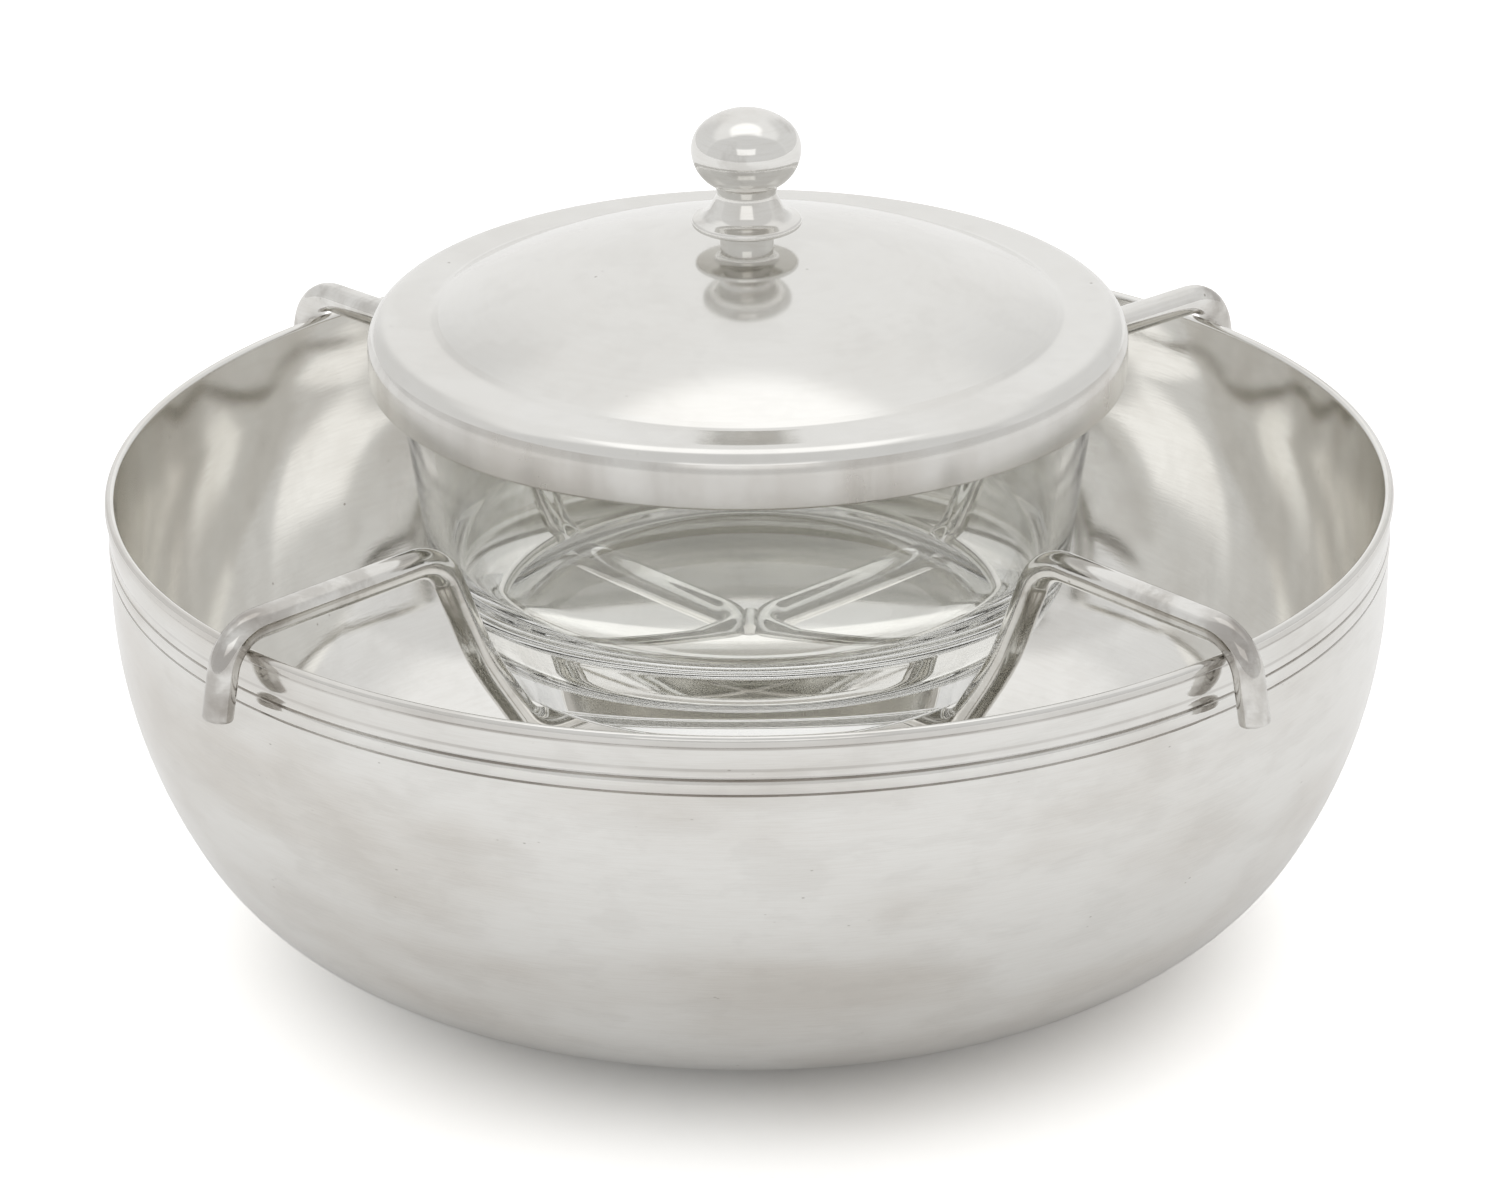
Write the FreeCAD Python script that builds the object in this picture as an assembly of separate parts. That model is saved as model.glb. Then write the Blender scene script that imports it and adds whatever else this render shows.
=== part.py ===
import FreeCAD, Part
import math
import os

# Caviar server: a silver bowl for crushed ice, a wire cradle hooked over its rim, a thick glass
# liner standing in the cradle and a domed lid with a turned finial resting on the liner.
# Millimetres, +Z up. The origin is the centre of the bowl's flat underside. The front is -Y.

# Outer bowl, spun from sheet, and the moulded band soldered on its edge
rim_radius = 111.0              # outside of the lip
lip_overhang = 0.6              # how far the lip stands out past the upright band below it
bowl_wall = 1.2
band_height = 15.0              # lip's top down to where the side starts to curve
upper_curve_radius = 85.0
upper_curve_end = 30.0          # degrees that the side has turned inward from upright
lower_curve_radius = 42.0
lower_curve_end = 66.0
base_curve_radius = 120.0       # runs out flat into the underside
lip_height = 1.9
lip_under_radius = 0.6
band_swell = 0.2                # how far the raised bands stand out
upper_band_end = 5.9            # these four are measured down from the lip's top
hollow_band_end = 7.4
bead_top = 7.9
bead_bottom = 10.1
hollow_band_depth = 0.12
upper_groove_depth = 0.4
lower_groove_width = 0.4
lower_groove_depth = 0.3

# Cradle, two bent wires soldered back to back
wire_diameter = 5.3
cradle_half_angle = 46.2        # between the front (-Y) and each front arm
cradle_turn = -1.85             # how far the whole cradle is turned on the rim
cradle_depth = 32.8             # lip's top down to the middle of the bottom wires
hook_gap = 0.25                 # from the lip to the wire that hangs on it
hook_touch_angle = 52.0         # degrees above level at which the hook is nearest to the lip
hook_bend_radius = 8.0
hook_splay = 11.0               # degrees that the hook's end stands off from upright
hook_end_depth = 10.8           # lip's top down to the middle of the hook's cut end
hook_end_round = 0.7
arm_slope = 1.2                 # degrees that the arm falls towards the rim
arm_bend_radius = 8.0
upper_leg_lean = 22.5           # degrees from upright
lower_leg_lean = 34.0
leg_bend_radius = 60.0
foot_bend_radius = 9.0
leg_gap = 1.0                   # from the liner's heel to the legs
wire_parting = 0.3              # between the two wires where they pass each other
solder_length = 7.0
solder_thickness = 3.4

# Glass liner
liner_gap = 0.15                # from the bottom wires to the glass
liner_height = 58.6
liner_rim_radius = 61.6
liner_upper_lean = 8.3          # degrees from upright
liner_lower_lean = 29.0
liner_shoulder_height = 13.2    # liner's underside up to where its side turns inward
liner_shoulder_radius = 10.0
liner_heel_radius = 3.0
liner_wall = 3.4
liner_rim_round = 1.6
liner_floor = 7.0
liner_floor_corner_radius = 20.0

# Lid, spun from sheet
lid_gap = 0.2                   # from the liner's rim to the underside of the lid's flange
lid_sheet = 1.0
lid_side_gap = 2.5              # from the liner's rim to the inside of the skirt
lid_skirt_height = 10.0
lid_shoulder_radius = 4.4
lid_flange_width = 10.6         # from the outside of the skirt to the foot of the dome
lid_dome_rise = 12.7
lid_fold_radius = 3.0           # hollow fold between the flange and the dome
lid_edge_round = 0.45

# Finial, turned in one piece with its stud
finial_stem_radius = 4.6
finial_stem_flare_radius = 1.8
finial_collar_radius = 9.4
finial_collar_bottom = 3.7      # the heights from here on are measured from the dome's top
finial_collar_top = 5.3
finial_collar_round = 0.75
finial_collar_flare_radius = 2.4
finial_neck_radius = 4.95
finial_neck_height = 8.9
finial_neck_curve_radius = 4.0
finial_ball_bottom = 10.5
finial_ball_bottom_radius = 5.45
finial_ball_radius = 9.4
finial_ball_side_radius = 5.5   # of the ball's side above its middle
finial_ball_middle = 16.8
finial_ball_top = 23.7
stud_radius = 2.0
stud_hole_clearance = 0.15
stud_past_nut = 1.2
stud_end_round = 0.6
washer_radius = 5.5
washer_thickness = 0.8
nut_across_flats = 7.0
nut_thickness = 3.0
nut_corner_cut = 0.12           # how much is turned off each corner
fastener_gap = 0.02


def sin_deg(angle):
    return math.sin(math.radians(angle))


def cos_deg(angle):
    return math.cos(math.radians(angle))


def tan_deg(angle):
    return math.tan(math.radians(angle))


# Heights and radii that follow from the sizes above
band_radius = rim_radius - lip_overhang
inner_rim_radius = band_radius - bowl_wall
lip_radius = (lip_overhang + bowl_wall) / 2
bowl_height = (band_height
               + upper_curve_radius * sin_deg(upper_curve_end)
               + lower_curve_radius * (sin_deg(lower_curve_end) - sin_deg(upper_curve_end))
               + base_curve_radius * (1 - sin_deg(lower_curve_end)))

wire_radius = wire_diameter / 2
cradle_height = bowl_height - cradle_depth
liner_base = cradle_height + wire_radius + liner_gap
liner_top = liner_base + liner_height
lid_radius = liner_rim_radius + lid_side_gap + lid_sheet
flange_top = liner_top + lid_gap + lid_sheet
dome_top = flange_top + lid_dome_rise
dome_foot_radius = lid_radius - lid_flange_width
dome_radius = (dome_foot_radius ** 2 + lid_dome_rise ** 2) / (2 * lid_dome_rise)


def point(r, z):
    """Point of a turned outline, at radius r and height z."""
    return FreeCAD.Vector(r, 0, z)


def line(start, end):
    return Part.LineSegment(start, end).toShape()


def arc(start, middle, end):
    return Part.Arc(start, middle, end).toShape()


def arc_about(r, z, radius, first, last):
    """Arc of an outline about (r, z). Angles are in degrees, 0 outward and 90 up."""
    stops = [point(r + radius * cos_deg(angle), z + radius * sin_deg(angle))
             for angle in (first, (first + last) / 2, last)]
    return arc(*stops)


def bow(start, end, rise):
    """Arc from start down to end whose middle stands outward of the straight line by rise."""
    along = (end - start).normalize()
    outward = FreeCAD.Vector(-along.z, 0, along.x)
    return arc(start, (start + end) / 2 + outward * rise, end)


def rounded(corners):
    """Edges through (place, bend radius) corners, each corner replaced by a tangent arc. An arc
    takes less than half of the runs beside it, so that the next corner's arc has room too."""
    largest_share = 0.49
    edges = []
    here = corners[0][0]
    for index in range(1, len(corners) - 1):
        before = corners[index - 1][0]
        corner, radius = corners[index]
        if radius == 0:
            edges.append(line(here, corner))
            here = corner
            continue
        after = corners[index + 1][0]
        back = (before - corner).normalize()
        onward = (after - corner).normalize()
        half_turn = (math.pi - back.getAngle(onward)) / 2
        room = largest_share * min((before - corner).Length, (after - corner).Length)
        tangent = min(radius * math.tan(half_turn), room)
        bend = tangent / math.tan(half_turn)
        inward = (back + onward).normalize()
        middle = corner + inward * (bend / math.cos(half_turn) - bend)
        edges.append(line(here, corner + back * tangent))
        edges.append(arc(corner + back * tangent, middle, corner + onward * tangent))
        here = corner + onward * tangent
    edges.append(line(here, corners[-1][0]))
    return edges


def spin(edges):
    """Solid turned about the upright axis from the edges of a closed outline."""
    outline = Part.Wire(Part.__sortEdges__(edges))
    turned = Part.Face(outline).revolve(FreeCAD.Vector(0, 0, 0), FreeCAD.Vector(0, 0, 1), 360)
    return Part.Solid(turned) if turned.ShapeType == "Shell" else turned


def crossing(first, first_lean, second, second_lean):
    """Where two leaning lines meet. Each runs through a (radius, height) place, and its lean is
    the radius that it gains for each unit of height."""
    height = (second[0] - first[0] + first_lean * first[1] - second_lean * second[1]) \
        / (first_lean - second_lean)
    return first[0] + first_lean * (height - first[1]), height


def bowl_side(inset):
    """Side of the bowl from the band down to the flat, at a distance inside its outer face."""
    edges = []
    r = band_radius - inset
    z = bowl_height - band_height
    turned = 0
    for radius, end in ((upper_curve_radius, upper_curve_end),
                        (lower_curve_radius, lower_curve_end),
                        (base_curve_radius, 90)):
        bend = radius - inset
        centre_r = r - bend * cos_deg(turned)
        centre_z = z + bend * sin_deg(turned)
        edges.append(arc_about(centre_r, centre_z, bend, -turned, -end))
        r = centre_r + bend * cos_deg(end)
        z = centre_z - bend * sin_deg(end)
        turned = end
    edges.append(line(point(r, z), point(0, z)))
    return edges


def rim_band():
    """Moulded band from the lip down to the groove below the bead. It stands on the sheet's edge
    and is flush with the sheet inside."""
    top = bowl_height
    lip_centre = rim_radius - lip_radius
    under_lip = point(band_radius, top - lip_height)
    upper_band = point(band_radius, top - upper_band_end)
    hollow_band = point(band_radius, top - hollow_band_end)
    bead_start = point(band_radius, top - bead_top)
    bead_end = point(band_radius, top - bead_bottom)
    upper_groove = point(band_radius - upper_groove_depth, top - (hollow_band_end + bead_top) / 2)
    lower_groove = point(band_radius - lower_groove_depth,
                         top - bead_bottom - lower_groove_width / 2)
    sheet_edge = point(band_radius, top - bead_bottom - lower_groove_width)
    inner_edge = point(inner_rim_radius, sheet_edge.z)
    lip_side = point(rim_radius, top - lip_radius)
    lip_foot = point(rim_radius, top - lip_height)
    return spin([arc_about(lip_centre, top - lip_radius, lip_radius, 180, 0)]
                + rounded([(lip_side, 0), (lip_foot, lip_under_radius), (under_lip, 0)])
                + [bow(under_lip, upper_band, band_swell),
                   bow(upper_band, hollow_band, -hollow_band_depth),
                   line(hollow_band, upper_groove),
                   line(upper_groove, bead_start),
                   bow(bead_start, bead_end, band_swell),
                   line(bead_end, lower_groove),
                   line(lower_groove, sheet_edge),
                   line(sheet_edge, inner_edge),
                   line(inner_edge, point(inner_rim_radius, top - lip_radius))])


def outer_bowl():
    """Spun bowl from its edge, which carries the band, down to the flat underside."""
    edge_z = bowl_height - bead_bottom - lower_groove_width
    curve_z = bowl_height - band_height
    return spin([line(point(inner_rim_radius, edge_z), point(band_radius, edge_z)),
                 line(point(band_radius, edge_z), point(band_radius, curve_z)),
                 line(point(0, 0), point(0, bowl_wall)),
                 line(point(inner_rim_radius, curve_z), point(inner_rim_radius, edge_z))]
                + bowl_side(0)
                + bowl_side(bowl_wall))


def liner_shoulder():
    """Corner where the liner's side turns inward, as (radius, height)."""
    drop = liner_height - liner_shoulder_height
    return liner_rim_radius - drop * tan_deg(liner_upper_lean), liner_top - drop


def liner_heel():
    """Corner between the liner's lower side and its underside, as (radius, height)."""
    reach = liner_shoulder_height * tan_deg(liner_lower_lean)
    return liner_shoulder()[0] - reach, liner_base


def glass_liner():
    inner_rim = liner_rim_radius - liner_wall / cos_deg(liner_upper_lean)
    inside_height = liner_height - liner_floor
    inner_corner = inner_rim - inside_height * tan_deg(liner_upper_lean)
    floor_z = liner_base + liner_floor
    corners = [(point(0, liner_base), 0),
               (point(*liner_heel()), liner_heel_radius),
               (point(*liner_shoulder()), liner_shoulder_radius),
               (point(liner_rim_radius, liner_top), liner_rim_round),
               (point(inner_rim, liner_top), liner_rim_round),
               (point(inner_corner, floor_z), liner_floor_corner_radius),
               (point(0, floor_z), 0)]
    return spin(rounded(corners) + [line(point(0, floor_z), point(0, liner_base))])


def hook_corner():
    """Corner of the hook where arm and hook's end would meet, as (radius, height). The bend lies
    round the lip, and its nearest point to the lip is hook_gap away."""
    near = lip_radius + hook_gap + wire_radius
    shift = hook_bend_radius - near
    bend_r = rim_radius - lip_radius - shift * cos_deg(hook_touch_angle)
    bend_z = bowl_height - lip_radius - shift * sin_deg(hook_touch_angle)
    arm_lean = -1 / tan_deg(arm_slope)
    arm_place = (bend_r + hook_bend_radius * sin_deg(arm_slope),
                 bend_z + hook_bend_radius * cos_deg(arm_slope))
    end_place = (bend_r + hook_bend_radius * cos_deg(hook_splay),
                 bend_z + hook_bend_radius * sin_deg(hook_splay))
    return crossing(arm_place, arm_lean, end_place, -tan_deg(hook_splay))


def arm_profile():
    """Corners of one arm from the hook's cut end to the bottom, as (radius, height, bend)."""
    heel = liner_heel()
    hook = hook_corner()
    end_z = bowl_height - hook_end_depth
    end_r = hook[0] + (hook[1] - end_z) * tan_deg(hook_splay)
    leg_lean = tan_deg(lower_leg_lean)
    leg_offset = (leg_gap + wire_radius) / cos_deg(lower_leg_lean)
    leg_place = (heel[0] + leg_offset, heel[1] + liner_gap)
    foot_r = leg_place[0] - (leg_place[1] - cradle_height) * leg_lean
    knee_z = liner_base + liner_shoulder_height
    knee = (foot_r + (knee_z - cradle_height) * leg_lean, knee_z)
    top = crossing(hook, -1 / tan_deg(arm_slope), knee, tan_deg(upper_leg_lean))
    return [(end_r, end_z, 0),
            (hook[0], hook[1], hook_bend_radius),
            (top[0], top[1], arm_bend_radius),
            (knee[0], knee[1], leg_bend_radius),
            (foot_r, cradle_height, foot_bend_radius)]


def cradle_wire():
    """The left wire of the cradle: hook, arm, leg and bottom at the front, and again at the rear.
    Its bottom stretches point at the upright axis and meet in a bend that just clears the other
    wire."""
    nearest = wire_radius + wire_parting / 2
    centre_bend_radius = nearest / (1 / cos_deg(cradle_half_angle) - 1)
    profile = arm_profile()
    front = FreeCAD.Vector(-sin_deg(cradle_half_angle), -cos_deg(cradle_half_angle), 0)
    rear = FreeCAD.Vector(-sin_deg(cradle_half_angle), cos_deg(cradle_half_angle), 0)
    places = []
    for r, z, bend in profile:
        places.append((point(0, z) + front * r, bend))
    places.append((point(0, cradle_height), centre_bend_radius))
    for r, z, bend in reversed(profile):
        places.append((point(0, z) + rear * r, bend))
    path = Part.Wire(rounded(places))
    start = places[0][0]
    ring = Part.Wire(Part.makeCircle(wire_radius, start, start - places[1][0]))
    wire = Part.Solid(path.makePipeShell([ring], True, False))
    ends = [edge for edge in wire.Edges
            if edge.Closed and edge.CenterOfMass.z < bowl_height - hook_end_depth + hook_end_round
            and edge.CenterOfMass.Length > rim_radius]
    wire = wire.makeFillet(hook_end_round, ends).Solids[0]
    wire.rotate(FreeCAD.Vector(0, 0, 0), FreeCAD.Vector(0, 0, 1), cradle_turn)
    return wire


def cradle_solder(left, right):
    """Solder that fills the valleys above and below the place where the wires pass."""
    start = FreeCAD.Vector(0, -solder_length / 2, cradle_height)
    drop = Part.makeCylinder(solder_thickness / 2, solder_length, start, FreeCAD.Vector(0, 1, 0))
    drop.rotate(FreeCAD.Vector(0, 0, 0), FreeCAD.Vector(0, 0, 1), cradle_turn)
    return drop.cut(left).cut(right).Solids[0]


def dome_arc(radius, centre_z, fold_r, fold_z, fold_radius):
    """Edges of the lid from the flange's fold up to the axis, for its outer or inner face."""
    reach = radius + fold_radius
    lean = math.asin(fold_r / reach)
    foot = point(radius * math.sin(lean), centre_z + radius * math.cos(lean))
    middle_lean = lean / 2
    crown = point(radius * math.sin(middle_lean), centre_z + radius * math.cos(middle_lean))
    fold = arc_about(fold_r, fold_z, fold_radius, -90, -90 - math.degrees(lean))
    return [fold, arc(foot, crown, point(0, centre_z + radius))]


def lid():
    dome_centre = dome_top - dome_radius
    fold_z = flange_top + lid_fold_radius
    fold_r = math.sqrt((dome_radius + lid_fold_radius) ** 2 - (fold_z - dome_centre) ** 2)
    skirt_bottom = flange_top - lid_skirt_height
    under = flange_top - lid_sheet
    outer = rounded([(point(fold_r, flange_top), 0),
                     (point(lid_radius, flange_top), lid_shoulder_radius),
                     (point(lid_radius, skirt_bottom), lid_edge_round),
                     (point(lid_radius - lid_sheet, skirt_bottom), lid_edge_round),
                     (point(lid_radius - lid_sheet, under), lid_shoulder_radius - lid_sheet),
                     (point(fold_r, under), 0)])
    sheet = spin(outer
                 + dome_arc(dome_radius, dome_centre, fold_r, fold_z, lid_fold_radius)
                 + dome_arc(dome_radius - lid_sheet, dome_centre, fold_r, fold_z,
                            lid_fold_radius + lid_sheet)
                 + [line(point(0, dome_top - lid_sheet), point(0, dome_top))])
    hole = Part.makeCylinder(stud_radius + stud_hole_clearance, lid_dome_rise + lid_sheet,
                             point(0, flange_top))
    return sheet.cut(hole).Solids[0]


def ball(bottom, middle_z, top_z):
    """Edges of the finial's ball from its bottom edge round its side to the axis."""
    hollow = finial_ball_radius - bottom.x
    depth = middle_z - bottom.z
    rise = top_z - middle_z
    lower_radius = (hollow ** 2 + depth ** 2) / (2 * hollow)
    lower_end = math.degrees(math.asin(depth / lower_radius))
    side = finial_ball_side_radius
    crown = (finial_ball_radius ** 2 - 2 * finial_ball_radius * side + rise ** 2) / (2 * (rise - side))
    lean = math.degrees(math.atan2(crown - rise, finial_ball_radius - side))
    return [arc_about(finial_ball_radius - lower_radius, middle_z, lower_radius, -lower_end, 0),
            arc_about(finial_ball_radius - side, middle_z, side, 0, lean),
            arc_about(0, top_z - crown, crown, lean, 90)]


def fastener_levels():
    """Heights of the washer's top and of the nut's top."""
    inner = dome_radius - lid_sheet
    washer_top = dome_top - dome_radius + math.sqrt(inner ** 2 - washer_radius ** 2) - fastener_gap
    return washer_top, washer_top - washer_thickness - fastener_gap


def finial():
    base = dome_top + fastener_gap
    washer_top, nut_top = fastener_levels()
    stud_bottom = nut_top - nut_thickness - stud_past_nut
    collar_bottom = base + finial_collar_bottom
    collar_top = base + finial_collar_top
    ball_start = point(finial_ball_bottom_radius, base + finial_ball_bottom)
    ball_top = base + finial_ball_top
    below = rounded([(point(0, stud_bottom), 0),
                     (point(stud_radius, stud_bottom), stud_end_round),
                     (point(stud_radius, base), 0),
                     (point(finial_stem_radius, base), 0),
                     (point(finial_stem_radius, collar_bottom), finial_stem_flare_radius),
                     (point(finial_collar_radius, collar_bottom), finial_collar_round),
                     (point(finial_collar_radius, collar_top), finial_collar_round),
                     (point(finial_neck_radius, collar_top), finial_collar_flare_radius),
                     (point(finial_neck_radius, base + finial_neck_height), finial_neck_curve_radius),
                     (ball_start, 0)])
    return spin(below
                + ball(ball_start, base + finial_ball_middle, ball_top)
                + [line(point(0, ball_top), point(0, stud_bottom))])


def ring(outer_radius, hole_radius, bottom, height):
    """Flat ring with its underside at the given height."""
    start = point(0, bottom)
    hole = Part.makeCylinder(hole_radius, height, start)
    return Part.makeCylinder(outer_radius, height, start).cut(hole).Solids[0]


def finial_washer():
    washer_top = fastener_levels()[0]
    return ring(washer_radius, stud_radius + stud_hole_clearance,
                washer_top - washer_thickness, washer_thickness)


def finial_nut():
    """Six-sided nut, its corners turned off round."""
    nut_top = fastener_levels()[1]
    corner_radius = nut_across_flats / 2 / cos_deg(30)
    corners = [FreeCAD.Vector(corner_radius * cos_deg(60 * side), corner_radius * sin_deg(60 * side),
                              nut_top - nut_thickness) for side in range(7)]
    hexagon = Part.Face(Part.makePolygon(corners)).extrude(FreeCAD.Vector(0, 0, nut_thickness))
    blank = ring(corner_radius - nut_corner_cut, stud_radius, nut_top - nut_thickness, nut_thickness)
    return hexagon.common(blank).Solids[0]


left_wire = cradle_wire()
right_wire = left_wire.copy()
right_wire.rotate(FreeCAD.Vector(0, 0, 0), FreeCAD.Vector(0, 0, 1), 180)

parts = {
    "outer_bowl": outer_bowl(),
    "rim_band": rim_band(),
    "cradle_wire_left": left_wire,
    "cradle_wire_right": right_wire,
    "cradle_solder": cradle_solder(left_wire, right_wire),
    "glass_liner": glass_liner(),
    "lid": lid(),
    "finial": finial(),
    "finial_washer": finial_washer(),
    "finial_nut": finial_nut(),
}

os.makedirs("parts", exist_ok=True)
for name, shape in parts.items():
    shape.exportStep("parts/" + name + ".step")
    box = shape.BoundBox
    print(name, shape.ShapeType, shape.isValid(), round(shape.Volume), "mm3",
          [round(value, 2) for value in (box.XMin, box.YMin, box.ZMin, box.XMax, box.YMax, box.ZMax)])
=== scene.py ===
import math

import bmesh
import bpy
from mathutils import Matrix, Vector


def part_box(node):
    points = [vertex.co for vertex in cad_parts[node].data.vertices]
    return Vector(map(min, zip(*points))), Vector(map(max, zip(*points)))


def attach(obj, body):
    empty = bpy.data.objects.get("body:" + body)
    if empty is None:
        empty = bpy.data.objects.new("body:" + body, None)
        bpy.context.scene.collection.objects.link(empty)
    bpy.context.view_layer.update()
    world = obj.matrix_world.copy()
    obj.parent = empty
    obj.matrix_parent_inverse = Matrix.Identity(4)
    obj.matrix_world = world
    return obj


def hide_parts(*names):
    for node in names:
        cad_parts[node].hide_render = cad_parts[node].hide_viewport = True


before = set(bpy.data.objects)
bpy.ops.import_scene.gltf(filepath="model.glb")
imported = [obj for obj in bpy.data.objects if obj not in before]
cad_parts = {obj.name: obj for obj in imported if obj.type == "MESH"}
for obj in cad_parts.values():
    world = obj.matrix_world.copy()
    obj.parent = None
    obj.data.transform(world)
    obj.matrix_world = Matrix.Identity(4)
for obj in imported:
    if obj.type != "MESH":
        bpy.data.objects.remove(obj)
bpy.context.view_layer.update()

scene = bpy.context.scene
mm = 0.001

# Camera, on a long lens a little over a metre away. It looks down on the rim, from the height at
# which the lid's dome and the inside of the bowl's rear wall both show.
camera_distance = 1199.6 * mm
camera_height_angle = math.radians(22.21)
camera_dip = math.radians(0.957)
camera_roll = math.radians(0.504)
camera_lens = 166.72

rim_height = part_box("rim_band")[1][2]
camera = bpy.data.objects.new("camera", bpy.data.cameras.new("camera"))
camera.data.sensor_fit = "HORIZONTAL"
camera.data.sensor_width = 36
camera.data.lens = camera_lens
camera.matrix_world = (
    Matrix.Translation((0, -camera_distance * math.cos(camera_height_angle),
                        rim_height + camera_distance * math.sin(camera_height_angle)))
    @ Matrix.Rotation(math.radians(90) - camera_height_angle - camera_dip, 4, "X")
    @ Matrix.Rotation(-camera_roll, 4, "Z"))
scene.collection.objects.link(camera)
scene.camera = camera
scene.view_settings.view_transform = "Standard"

# Light crosses many faces of glass and runs to and fro between silver walls.
scene.cycles.max_bounces = 32
scene.cycles.glossy_bounces = 20
scene.cycles.transmission_bounces = 24


# Studio: a pale tent. Its walls and ceiling are the world's colour, with a bright ceiling over
# the object, a window high at the front and greyer walls on both sides. The camera sees it white.
def link(tree, outlet, inlet):
    tree.links.new(outlet, inlet)


def math_node(tree, operation, first, second=0.5, third=0.5, clamp=False):
    """Output of a math node whose inputs are outputs of other nodes or numbers."""
    node = tree.nodes.new("ShaderNodeMath")
    node.operation = operation
    node.use_clamp = clamp
    for index, value in enumerate((first, second, third)):
        if isinstance(value, (int, float)):
            node.inputs[index].default_value = value
        else:
            link(tree, value, node.inputs[index])
    return node.outputs[0]


def ramp_between(tree, value, start, end, low=0.0, high=1.0):
    """Output that goes smoothly from low to high while value goes from start to end."""
    node = tree.nodes.new("ShaderNodeMapRange")
    node.interpolation_type = "SMOOTHSTEP"
    for index, number in enumerate((start, end, low, high)):
        node.inputs[index + 1].default_value = number
    link(tree, value, node.inputs[0])
    return node.outputs[0]


# Each edge is a pair of direction components, from none of a patch to all of it: how far up,
# how far away from the camera, or how far to either side the direction points.
tent_level = 0.95
tent_colour = (1.0, 0.995, 0.985, 1)
backdrop_level = 1.0
back_edge = (-0.05, 0.1)
wall_level = 0.78
wall_side_edge = (0.22, 0.5)
wall_top_edge = (0.78, 0.6)
ceiling_level = 1.29
ceiling_low_edge = (0.86, 0.92)
ceiling_front_edge = (-0.1, 0.05)
ceiling_side_edge = (0.4, 0.28)
front_level = 0.74
window_level = 1.15
window_low_edge = (0.36, 0.42)
window_top_edge = (0.72, 0.66)
window_side_edge = (0.34, 0.28)

world = bpy.data.worlds.new("studio")
scene.world = world
world.use_nodes = True
tree = world.node_tree
tree.nodes.clear()
direction = tree.nodes.new("ShaderNodeTexCoord").outputs["Generated"]
split = tree.nodes.new("ShaderNodeSeparateXYZ")
link(tree, direction, split.inputs[0])
across, away, up = split.outputs
side = math_node(tree, "ABSOLUTE", across)
tent = tree.nodes.new("ShaderNodeValue").outputs[0]
tent.default_value = tent_level


def patch(level, under, mask):
    """Mix of the tent so far with a patch of another level, where the mask is one."""
    kept = math_node(tree, "MULTIPLY", under, math_node(tree, "SUBTRACT", 1.0, mask))
    return math_node(tree, "MULTIPLY_ADD", mask, level, kept)


def both(first, second):
    """Mask where both masks are one."""
    return math_node(tree, "MULTIPLY", first, second)


behind = ramp_between(tree, away, *back_edge)
in_front = math_node(tree, "SUBTRACT", 1.0, behind)
walls = both(both(ramp_between(tree, side, *wall_side_edge), behind),
             ramp_between(tree, up, *wall_top_edge))
tent = patch(wall_level, tent, walls)
ceiling = both(ramp_between(tree, up, *ceiling_low_edge),
               both(ramp_between(tree, away, *ceiling_front_edge),
                    ramp_between(tree, side, *ceiling_side_edge)))
tent = patch(ceiling_level, tent, ceiling)
tent = patch(front_level, tent, in_front)
window = both(both(ramp_between(tree, up, *window_low_edge),
                   ramp_between(tree, up, *window_top_edge)),
              both(ramp_between(tree, side, *window_side_edge), in_front))
tent = patch(window_level, tent, window)

seen = tree.nodes.new("ShaderNodeLightPath").outputs["Is Camera Ray"]
strength = patch(backdrop_level, tent, seen)
background = tree.nodes.new("ShaderNodeBackground")
background.inputs["Color"].default_value = tent_colour
link(tree, strength, background.inputs["Strength"])
output = tree.nodes.new("ShaderNodeOutputWorld")
link(tree, background.outputs[0], output.inputs["Surface"])

# Floor: a wide sweep of matt white paper that the bowl stands on. It shows the bowl's soft shadow,
# and a painted shadow deepens it near the bowl: the paper is painted lighter away from the bowl, up
# to the white of the backdrop. The two gains are the extra painted light near the bowl and far
# from it, to the camera and in mirrors and glass.
floor_half_width = 4.0
floor_drop = 0.05 * mm
floor_white = 0.92
painted_shadow_inner = 48.0
painted_shadow_outer = 99.0
floor_painted_light = (0.45, 1.0)
floor_painted_light_in_metal = (0.0, 0.2)

floor_mesh = bpy.data.meshes.new("floor")
floor_mesh.from_pydata([(x * floor_half_width, y * floor_half_width, -floor_drop)
                        for x, y in ((-1, -1), (1, -1), (1, 1), (-1, 1))], [], [(0, 1, 2, 3)])
floor = bpy.data.objects.new("floor", floor_mesh)
scene.collection.objects.link(floor)
paper = bpy.data.materials.new("white sweep")
paper.use_nodes = True
tree = paper.node_tree
tree.nodes.remove(tree.nodes["Principled BSDF"])
shader = tree.nodes.new("ShaderNodeBsdfDiffuse")
path = tree.nodes.new("ShaderNodeLightPath").outputs
mirrored = math_node(tree, "ADD", path["Is Glossy Ray"], path["Is Transmission Ray"], clamp=True)
distance = tree.nodes.new("ShaderNodeVectorMath")
distance.operation = "LENGTH"
link(tree, tree.nodes.new("ShaderNodeTexCoord").outputs["Object"], distance.inputs[0])
white = floor_white
# Painted shadow: less painted light on the paper near the bowl, more away from it.
for seen, gain in ((path["Is Camera Ray"], floor_painted_light), (mirrored, floor_painted_light_in_metal)):
    painted_light = ramp_between(tree, distance.outputs["Value"], painted_shadow_inner * mm, painted_shadow_outer * mm,
                         floor_white * gain[0], floor_white * gain[1])
    white = math_node(tree, "MULTIPLY_ADD", seen, painted_light, white)
link(tree, white, shader.inputs["Color"])
link(tree, shader.outputs[0], tree.nodes["Material Output"].inputs["Surface"])
floor_mesh.materials.append(paper)


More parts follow.
